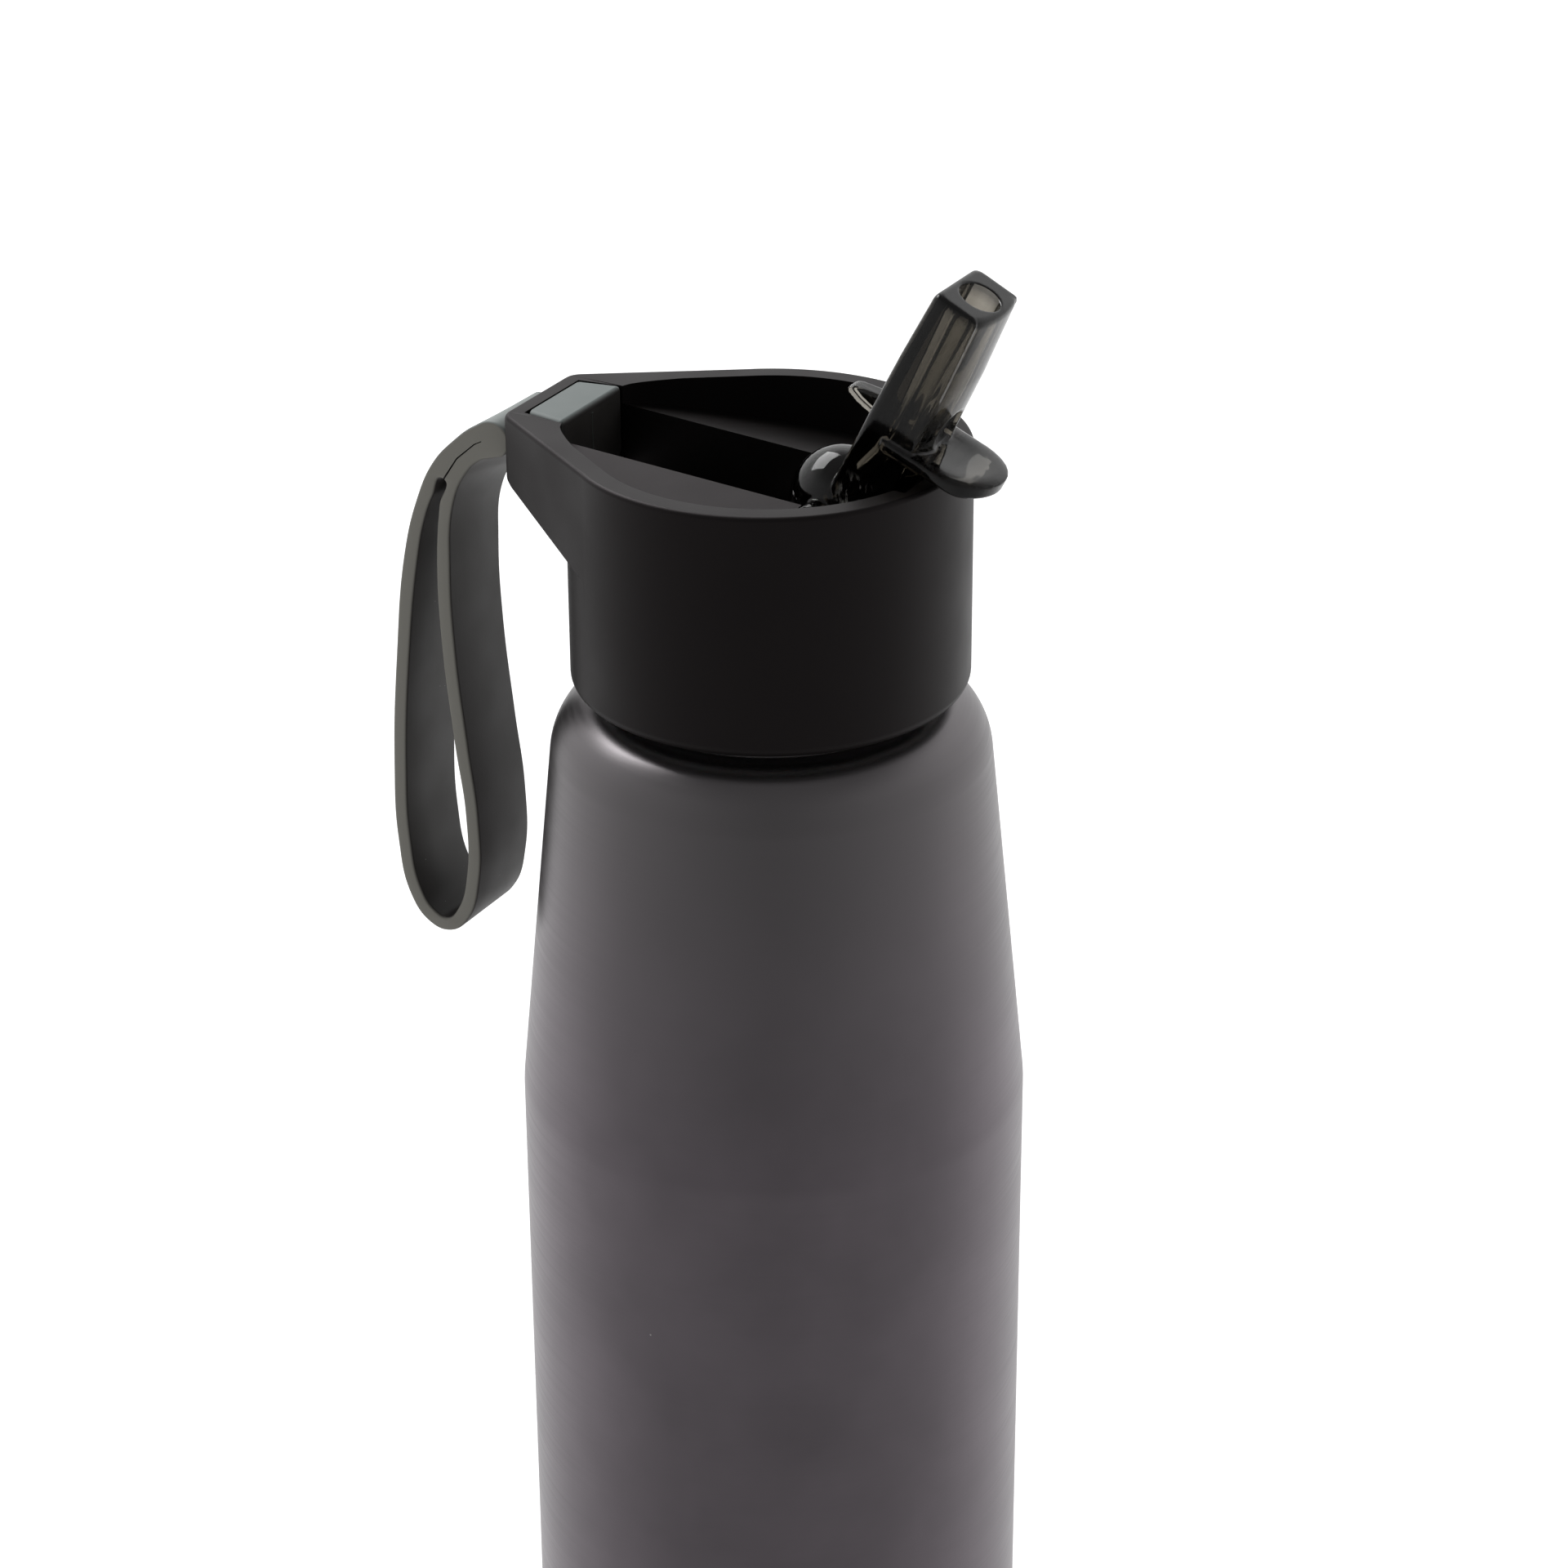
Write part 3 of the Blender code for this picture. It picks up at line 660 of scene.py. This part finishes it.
def pocket_block(name, shrink, top, front_half=POCKET_FRONT_HALF, reach=0.0):
    """The anchor's pocket, or its block when shrunk; the bottom follows the lug's underside."""
    back, front = POCKET_BACK_X + shrink, POCKET_FRONT_X
    side = [(back, POCKET_BACK_HALF - shrink), (front, front_half - shrink)]
    if reach:
        side.append((front + reach, front_half - shrink))
    outline = side + [(x, -y) for x, y in reversed(side)]
    made = prism(name, [outline], BELOW_FLOOR, top)
    for vert in made.data.vertices:
        if vert.co.z < FLOOR_Z * MM:
            vert.co.z = (underside_z(vert.co.x / MM) + POCKET_SKIN + shrink) * MM
    return made


def make_lid():
    """The black screw lid: round shell and lug, cut by the cavity, deck, channel, pocket and seats."""
    low = arc(LID_R - LID_FOOT_ROUND, LID_BOTTOM + LID_FOOT_ROUND, LID_FOOT_ROUND, 0.0, -90.0, 9)
    top = arc(LID_R - RIM_ROUND, RIM_Z - RIM_ROUND, RIM_ROUND, 90.0, 0.0, 6)
    shell = turned("lid_shell_skin", [(0.0, RIM_Z)] + top + low + [(0.0, LID_BOTTOM)], segments=192)
    lug = prism("lug", [lug_outline(LID_R - 0.02)], 219.0, RIM_Z - 0.005, edge=RIM_ROUND)
    far, near, below = LUG_X - 8.0, 0.0, 200.0
    wedge = [(far, LUG_UNDER_Z + 0.6), (LUG_X, LUG_UNDER_Z + 0.6), (LUG_X + 2.0, underside_z(LUG_X + 2.0)),
             (near, underside_z(near)), (near, below), (far, below)]
    wedge = rounded(wedge, [0.0, 1.2, 2.0, 0.0, 0.0, 0.0], True)
    lug = combine(lug, prism("wedge", [wedge], -40.0, 40.0, upright=True))
    shell = combine(shell, lug, "UNION")
    shell = combine(shell, cylinder("cavity", LID_CAVITY_R, (0, 0, below), (0, 0, FLOOR_UNDERSIDE), 128))
    shell = combine(shell, deck_space("deck_left", 1.0))
    shell = combine(shell, deck_space("deck_right", -1.0))
    shell = combine(shell, block("channel", (POCKET_FRONT_X, -CHANNEL_HALF, FLOOR_Z),
                                 (CHANNEL_END_X, CHANNEL_HALF, ABOVE_RIM)))
    shell = combine(shell, pocket_block("pocket", 0.0, ABOVE_RIM, CHANNEL_HALF, 0.3))
    shell = combine(shell, block("slot", (LUG_X - 3.0, -SLOT_HALF, SLOT_LOW),
                                 (POCKET_BACK_X + 1.0, SLOT_HALF, SLOT_HIGH)))
    half = CHANNEL_HALF + SEAT_DEPTH
    ends = (HINGE_X, -half, HINGE_Z), (HINGE_X, half, HINGE_Z)
    shell = combine(shell, cylinder("seat", AXLE_R + SEAT_CLEARANCE, *ends, 32))
    shell = combine(shell, block("snap", (HINGE_X - SNAP_HALF, -half, HINGE_Z),
                                 (HINGE_X + SNAP_HALF, half, ABOVE_RIM)))
    holes = (("seal_hole", SEAL_HOLE_R, HINGE_X, 48), ("vent_hole", VENT_HOLE_R, VENT_X, 32))
    for name, radius, x, sides in holes:
        shell = combine(shell, cylinder(name, radius, (x, 0, BELOW_FLOOR), (x, 0, IN_FLOOR), sides))
    return bevelled(shell, EDGE_ROUND, RIM_INNER_ROUND, RIM_Z - 0.1)


def make_liner():
    """The threaded insert: a cup with the straw nipple, a bore through it and a vent hole."""
    profile = [(0.0, LINER_TOP), (LINER_R, LINER_TOP), (LINER_R, LINER_BOTTOM),
               (LINER_INNER_R, LINER_BOTTOM), (LINER_INNER_R, LINER_PLATE), (0.0, LINER_PLATE)]
    profile = rounded(profile, [0.0, 0.5, 0.3, 0.3, 0.6, 0.0])
    liner = turned("lid_liner_skin", profile, segments=128)
    for name, radius, x in (("bore", LINER_BORE_R, HINGE_X), ("stem", LINER_VENT_R, VENT_X)):
        liner = combine(liner, cylinder(name, radius, (x, 0, 215), (x, 0, 235), 32))
    smooth(liner, 40.0)
    nipple = [(NIPPLE_R, LINER_PLATE), (NIPPLE_R, NIPPLE_END + 0.6), (NIPPLE_R - 0.4, NIPPLE_END),
              (LINER_BORE_R, NIPPLE_END), (LINER_BORE_R, LINER_PLATE)]
    nipple = smooth(turned("nipple", nipple, 48, closed=True, centre_x=HINGE_X), 40.0)
    ridge = thread_ridge("liner_thread", LINER_INNER_R + 0.2, LINER_CREST_R, THREAD_Z - PITCH / 2)
    return joined("lid_liner_skin", liner, nipple, ridge)


def ring(name, corners, edge, segments=96, centre_x=0.0):
    """A turned ring whose section has rounded corners."""
    section = rounded(corners, edge, closed=True)
    return smooth(turned(name, section, segments, closed=True, centre_x=centre_x))


def make_gasket():
    """The flat ring between the liner's plate and the bottle's lip."""
    outer, inner, top, bottom = 23.7, 20.2, 227.0, LIP_Z + 0.3
    corners = [(outer, top), (outer, bottom), (inner, bottom), (inner, top)]
    return ring("neck_gasket_skin", corners, 0.35, 128)


def make_ball_seal():
    """The cup under the spout's ball."""
    seat, hole, outer, bottom = BALL_R + 0.25, 2.3, 5.0, LINER_TOP + 0.3
    top = []
    for i in range(9):
        r = hole + (outer - 0.4 - hole) * i / 8
        top.append((r, HINGE_Z - math.sqrt(seat * seat - r * r)))
    profile = [(outer, top[-1][1] - 0.3), (outer, bottom), (hole, bottom)] + top
    return smooth(turned("ball_seal_skin", profile, 64, closed=True, centre_x=HINGE_X), 45.0)


def make_vent():
    """The grommet that the spout's prong closes."""
    top, step, foot = 232.8, LINER_TOP + 0.3, 226.2
    corners = [(1.2, top - 0.5), (1.9, top), (2.6, top - 0.3), (2.6, step), (1.5, step), (1.5, foot),
               (0.5, foot), (0.5, top - 1.0)]
    return ring("vent_valve_skin", corners, 0.2, 48, centre_x=VENT_X)


def make_straw():
    tube = [(STRAW_R, STRAW_TOP), (STRAW_R, STRAW_BOTTOM), (STRAW_INNER_R, STRAW_BOTTOM),
            (STRAW_INNER_R, STRAW_TOP)]
    return ring("straw_skin", tube, 0.2, 64, centre_x=HINGE_X)


def tube_section(a, back, corner, crown, inset=0.0):
    """Spout tube cross-section: flat back with round corners, flat sides and a crowned front."""
    back, corner, crown, half = back + inset, corner - inset, crown - inset, SPOUT_HALF - inset
    outline = rounded([(corner, -half), (back, -half), (back, half), (corner, half)],
                      [0.0, 1.3, 1.3, 0.0], steps=6)
    for k in range(1, 24):
        y = half * (1 - k / 12)
        share = abs(y) / half
        outline.append((corner + (crown - corner) * (1 - share ** 2) - 0.5 * share ** 10, y))
    return [(e, y, a) for e, y in outline]


def lever_height(out, share, above):
    """Height of the lever's upper or lower face; share runs from 0 at its middle to 1 at its edge."""
    edge = share ** 6
    rise = 0.10 * max(0.0, out - 6.5) + 0.012 * max(0.0, out - LEVER_BEND) ** 2
    if above:
        return LEVER_TOP + 0.75 * share ** 3 - 1.0 * edge + rise
    return LEVER_UNDER + 1.2 * edge - 0.7 * min(1.0, max(0.0, (out - LEVER_BEND) / 3.0)) + rise


def make_lever():
    """The thumb lever: a dished spoon with a raised rim and a round end."""
    tip = arc(LEVER_END - LEVER_HALF, 0.0, LEVER_HALF, -90.0, 90.0, 31)
    outline = [(LEVER_START, -LEVER_HALF)] + tip + [(LEVER_START, LEVER_HALF)]
    middle = (LEVER_START + LEVER_END) / 2
    rings, size = 9, len(outline)
    verts = []
    for above in (True, False):
        for k in range(rings + 1):
            share = k / rings
            for e, y in outline:
                out = middle + (e - middle) * share
                verts.append(Vector((out, y * share, lever_height(out, share, above))) * MM)
    sheet = (rings + 1) * size
    faces = skin(rings, size) + skin(rings, size, sheet)
    last = rings * size
    for j in range(size):
        nxt = (j + 1) % size
        faces.append((last + j, last + nxt, sheet + last + nxt, sheet + last + j))
    return from_faces("lever", verts, faces)


def ball(name, radius, centre=(0, 0, 0), stretch=(1, 1, 1), rings=32):
    mesh = bpy.data.meshes.new(name)
    bm = bmesh.new()
    bmesh.ops.create_uvsphere(bm, u_segments=rings * 2, v_segments=rings, radius=radius * MM)
    bmesh.ops.scale(bm, vec=stretch, verts=bm.verts)
    bmesh.ops.rotate(bm, matrix=Matrix.Rotation(math.pi / 2, 3, "X"), verts=bm.verts)
    bmesh.ops.translate(bm, vec=Vector(centre) * MM, verts=bm.verts)
    bm.to_mesh(mesh)
    bm.free()
    return new_object(name, mesh)


def make_spout():
    """Drawn with Z along the spout and X towards the thumb lever, then leaned over."""
    end = SPOUT_LENGTH
    sections = [(1.0, -0.7, 7.4, 9.0), (17.0, -0.65, 7.5, 9.0), (27.0, -0.5, 7.4, 8.8),
                (end - 0.9, -0.1, 7.1, 8.0), (end - 0.25, -0.1, 7.1, 8.0, 0.22),
                (end, -0.1, 7.1, 8.0, 0.75)]
    bar = loft("spout_skin", [tube_section(*section) for section in sections])
    bar = combine(bar, ball("scoop", 1.0, (10.3, 0, 18.6), (2.6, 4.0, 4.2)))
    half = CHANNEL_HALF + 1.7
    gusset = [(3.0, 14.0), (9.6, 13.6), (8.6, 12.4), (6.8, 11.0), (3.0, 10.4)]
    prong = [(1.0, 13.9), (-2.3, 14.1), (-4.1, 14.35), (-5.8, 14.9), (-6.1, 15.5), (-5.4, 16.1),
             (-4.2, 16.5), (-2.1, 17.1), (1.0, 17.6)]
    for part in (make_lever(),
                 prism("gusset", [gusset], -GUSSET_HALF, GUSSET_HALF, upright=True),
                 ball("ball", BALL_R),
                 cylinder("axles", AXLE_R, (0, -half, 0), (0, half, 0), 40),
                 prism("prong", [prong], -PRONG_HALF, PRONG_HALF, upright=True)):
        bar = combine(bar, part, "UNION")
    mouth, turn = (BORE_MIDDLE, 0, end + 0.5), (BORE_MIDDLE, 0, end - BORE_DEPTH)
    overlap = (BORE_MIDDLE, 0, end - BORE_DEPTH + 1.0)
    outlet = Vector((math.sin(TILT), 0, -math.cos(TILT))) * 9.0
    for tool in (cylinder("bore", BORE_R, turn, mouth, 40, BORE_MOUTH_R),
                 cylinder("bore_low", BORE_R, (0, 0, -0.5), overlap, 40),
                 cylinder("outlet", BORE_R, (0, 0, 0), outlet, 40)):
        bar = combine(bar, tool)
    bar = remeshed(bar, 0.16, 8)
    bar.name = "spout_skin"
    bar.data.transform(SPOUT_FRAME)
    return bar


def make_anchor():
    """The block that holds the carry loop, its tab through the lug and a fine moulding ridge."""
    gap = 0.3
    body = bevelled(pocket_block("strap_anchor_skin", gap, RIM_Z + 0.2), 0.85, segments=5)
    body.modifiers.clear()
    back = POCKET_BACK_X + 2.0
    half = SLOT_HALF - 0.3
    outline = [(LUG_X + 0.1, -half), (back, -half), (back, half), (LUG_X + 0.1, half)]
    tab = prism("tab", [rounded(outline, 0.3, True)], SLOT_LOW + 0.4, SLOT_HIGH - 0.4, edge=0.3)
    ridge = cylinder("parting", 0.15, (POCKET_FRONT_X, 0, 236.0), (POCKET_FRONT_X, 0, RIM_Z - 1.2), 12)
    anchor = smooth(joined("strap_anchor_skin", body, tab, ridge), 50.0)
    normals = anchor.modifiers.new("normals", "WEIGHTED_NORMAL")
    normals.keep_sharp = True
    return anchor


def droop(loop):
    """The soft strap sags a little on its far side, so that its wide faces twist near the lug."""
    for vert in loop.data.vertices:
        high = min(1.0, max(0.0, (vert.co.z / MM - 222.0) / 12.0))
        out = min(1.0, max(0.0, (-41.5 - vert.co.x / MM) / 4.0))
        across = (vert.co.y / MM + LOOP_HALF) / (2 * LOOP_HALF)
        vert.co.z -= DROOP * MM * high * out * across


def make_loop():
    """The flat silicone loop; a fine slit runs up its root between the two layers."""
    root = arc(LOOP_PIVOT_X, LOOP_PIVOT_Z, LOOP_ROOT_R, -90.0, 90.0, 5)
    outside = [(-44.0, 241.6), (-47.4, 238.9), (-51.2, 234.7), (-54.2, 228.5), (-56.7, 219.8),
               (-58.9, 203.4), (-60.3, 185.4), (-60.2, 172.8), (-58.3, 163.8), (-55.3, 160.2),
               (-51.9, 159.5), (-48.5, 162.0), (-46.1, 169.0), (-45.8, 179.5), (-47.1, 191.0),
               (-48.6, 206.0), (-48.9, 218.6), (-47.9, 229.0), (-45.7, 233.9), (-43.1, 236.5)]
    inside = [(-49.5, 232.6), (-51.3, 229.7), (-53.0, 225.4), (-54.4, 219.4), (-56.7, 203.2),
              (-58.1, 185.4), (-58.0, 173.2), (-56.4, 165.2), (-54.3, 162.4), (-52.0, 161.7),
              (-50.1, 163.6), (-48.3, 169.4), (-48.0, 179.5), (-49.4, 190.8), (-50.9, 205.9),
              (-51.2, 218.5), (-50.3, 228.5)]
    loop = prism("carry_loop_skin", [root + outside, inside], -LOOP_HALF, LOOP_HALF, upright=True,
                 edge=LOOP_EDGE, resolution=10, curved=True)
    slit = [(-49.5, 232.0), (-46.8, 236.1), (-43.8, 238.8), (-42.6, 239.5), (-42.6, 239.65),
            (-43.9, 238.95), (-46.95, 236.25), (-49.7, 232.2)]
    for side in (1.0, -1.0):
        low, high = sorted((side * (LOOP_HALF - SLIT_DEPTH), side * (LOOP_HALF + 2.3)))
        loop = combine(loop, prism("slit", [slit], low, high, upright=True))
    loop.name = "carry_loop_skin"
    droop(loop)
    return smooth(loop, 40.0)


METAL, LID, LINER, SEAL = metal_look(), lid_look(), liner_look(), seal_look()
STRAW, SMOKE = straw_look(), smoke_look()
# edge is painted light on the narrow side faces, and top is a painted highlight on upward faces.
STRAP = rubber_look("loop_silicone", dark=(0.026, 0.0235, 0.0225), light=(0.034, 0.031, 0.029),
                    edge=(0.165, 0.160, 0.140), top=(0.30, 0.33, 0.32), top_from=(-50.0, -43.0))
BLOCK = rubber_look("anchor_silicone", dark=(0.026, 0.0235, 0.022), light=(0.034, 0.031, 0.029),
                    edge=(0.10, 0.11, 0.105), top=(0.19, 0.218, 0.213))

dressed(make_bottle(), METAL, "bottle_metal", "bottle", "bottle_shell")
dressed(make_lid(), LID, "lid_plastic", "lid", "lid_shell")
dressed(make_liner(), LINER, "liner_plastic", "lid", "lid_liner")
dressed(make_gasket(), SEAL, "seal_rubber", "gasket", "neck_gasket")
dressed(make_ball_seal(), SEAL, "seal_rubber", "lid", "spout_ball_seal")
dressed(make_vent(), SEAL, "seal_rubber", "lid", "vent_valve")
dressed(make_straw(), STRAW, "straw_plastic", "lid", "straw")
dressed(make_spout(), SMOKE, "spout_plastic", "spout", "spout")
dressed(make_anchor(), BLOCK, "loop_rubber", "lid", "strap_anchor")
loop = dressed(make_loop(), STRAP, "loop_rubber", None, "carry_loop")
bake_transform(loop)


# ---------------------------------------------------------------- floor, light and camera

VIEW_TURN = math.radians(29.23)
VIEW_DROP = math.radians(26.1)
AIM = Vector((0.0, 0.0, 0.1931))
TO_CAMERA = Vector((math.sin(VIEW_TURN), -math.cos(VIEW_TURN), 0.0))
RIGHT = Vector((math.cos(VIEW_TURN), math.sin(VIEW_TURN), 0.0))
CAMERA_AWAY, CAMERA_ABOVE, CAMERA_ASIDE = 0.5551, 0.27196, 0.00174       # metres from the aim
CAMERA_ROLL = math.radians(-0.34)
LENS = 100.0


def make_floor():
    size = 6.0
    corners = [(-size, -size, 0), (size, -size, 0), (size, size, 0), (-size, size, 0)]
    floor = from_faces("studio_floor", [Vector(c) for c in corners], [(0, 1, 2, 3)])
    look = Look("pale_floor", Roughness=0.9)
    look.shader.inputs["Specular IOR Level"].default_value = 0.0
    cloud = look.noise(look.place, 2.0, 1.0)
    look.colour(look.mix(cloud, (0.86, 0.86, 0.86), (0.87, 0.87, 0.87)))
    look.shader.inputs["Emission Color"].default_value = (1.0, 1.0, 1.0, 1.0)
    look.shader.inputs["Emission Strength"].default_value = 0.55
    floor.data.materials.append(look.material)
    floor.visible_glossy = False
    return floor


def make_world():
    """Soft surround: dim behind the camera and overhead, bright to the sides and the back."""
    world = bpy.data.worlds.new("studio")
    world.use_nodes = True
    nodes = Nodes(world.node_tree)
    nodes.tree.nodes.clear()
    direction = nodes.add("TexCoord").outputs["Generated"]
    height = nodes.add("SeparateXYZ", Vector=direction).outputs[2]
    level = nodes.vectors("NORMALIZE", nodes.vectors("MULTIPLY", direction, (1.0, 1.0, 0.0)))
    share = nodes.span(nodes.vectors("DOT_PRODUCT", level, TO_CAMERA), 1.0, -1.0)
    ramp = nodes.add("ValToRGB", Fac=share)
    stops = [(0.0, 0.26), (0.02, 0.29), (0.22, 0.40), (0.41, 0.50), (0.62, 0.74), (0.9, 1.0)]
    while len(ramp.color_ramp.elements) < len(stops):
        ramp.color_ramp.elements.new(0.5)
    for element, (position, grey) in zip(ramp.color_ramp.elements, stops):
        element.position = position
        element.color = (grey, grey, grey, 1.0)
    front = nodes.span(share, 0.0, 0.22, 1.0, 0.0)
    low = nodes.span(height, -0.2, -0.5, -0.03, 0.07)
    table = nodes.math("MULTIPLY", low, front)
    sides = nodes.vectors("ADD", ramp.outputs["Color"], table)
    sky = nodes.mix(nodes.span(height, 0.55, 0.85), sides, (0.22, 0.22, 0.22))
    surround = nodes.add("Background", Color=sky, Strength=1.0)
    backdrop = nodes.add("Background", Color=(1.0, 1.0, 1.0), Strength=1.0)
    chosen = nodes.add("MixShader", Fac=nodes.add("LightPath").outputs["Is Camera Ray"])
    nodes.put(chosen.inputs[1], surround.outputs[0])
    nodes.put(chosen.inputs[2], backdrop.outputs[0])
    nodes.add("OutputWorld", Surface=chosen.outputs[0])
    bpy.context.scene.world = world


def softbox(name, turn, height, distance, width, tall, power):
    """An area light at an angle round the bottle from the camera, aimed at the lid."""
    data = bpy.data.lights.new(name, "AREA")
    data.shape = "RECTANGLE"
    data.size, data.size_y = width, tall
    data.energy = power
    lamp = bpy.data.objects.new(name, data)
    bpy.context.scene.collection.objects.link(lamp)
    around = Matrix.Rotation(math.radians(turn), 3, "Z") @ TO_CAMERA
    place = AIM + around * distance + Vector((0, 0, height))
    lamp.location = place
    lamp.rotation_mode = "QUATERNION"
    lamp.rotation_quaternion = (AIM - place).to_track_quat("-Z", "Y")
    return lamp


def make_camera():
    data = bpy.data.cameras.new("camera")
    data.lens = LENS
    data.sensor_width = 36.0
    data.clip_start, data.clip_end = 0.01, 50.0
    camera = bpy.data.objects.new("camera", data)
    bpy.context.scene.collection.objects.link(camera)
    look = -TO_CAMERA * math.cos(VIEW_DROP) - Vector((0, 0, math.sin(VIEW_DROP)))
    above = RIGHT.cross(look)
    turn = Matrix((RIGHT, above, -look)).transposed()
    roll = Matrix.Rotation(CAMERA_ROLL, 3, "Z")
    place = AIM + TO_CAMERA * CAMERA_AWAY + Vector((0, 0, CAMERA_ABOVE)) + RIGHT * CAMERA_ASIDE
    camera.matrix_world = Matrix.Translation(place) @ (turn @ roll).to_4x4()
    bpy.context.scene.camera = camera
    return camera


make_floor()
make_world()
softbox("left_back_box", turn=-140.0, height=0.95, distance=0.80, width=0.9, tall=0.6, power=8.0)
make_camera()
bpy.context.scene.view_settings.view_transform = "Standard"
